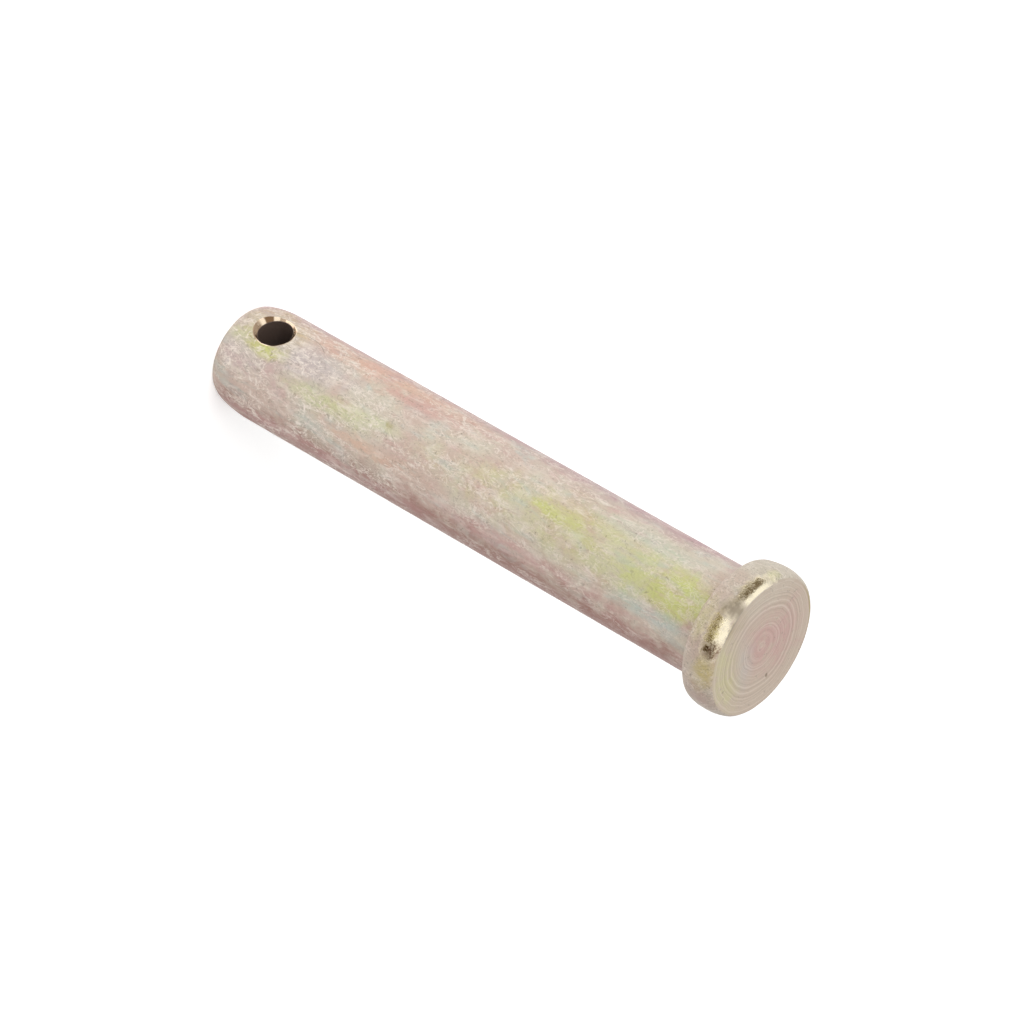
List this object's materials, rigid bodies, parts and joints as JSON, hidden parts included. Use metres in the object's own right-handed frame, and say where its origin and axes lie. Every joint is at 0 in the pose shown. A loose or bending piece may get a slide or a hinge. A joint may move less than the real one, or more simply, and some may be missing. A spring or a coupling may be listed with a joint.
{
  "type": "clevis pin",
  "caption": "Round headed pin with a rounded point and a cross hole for a split pin, in yellow passivated zinc plate.",
  "frame": {"origin": "centre of the flat at the drilled end, which is the bottom of the part", "axes": "+Z along the shank from the drilled end to the head, +Y along the cross hole, +X square to both"},
  "size_m": [0.0126, 0.0126, 0.0549],
  "materials": {
    "plated_steel": "yellow passivated zinc plate over cold headed steel, satin with iridescent clouds"
  },
  "bodies": {
    "root": {"clevis_pin": "plated_steel"}
  },
  "joints": []
}
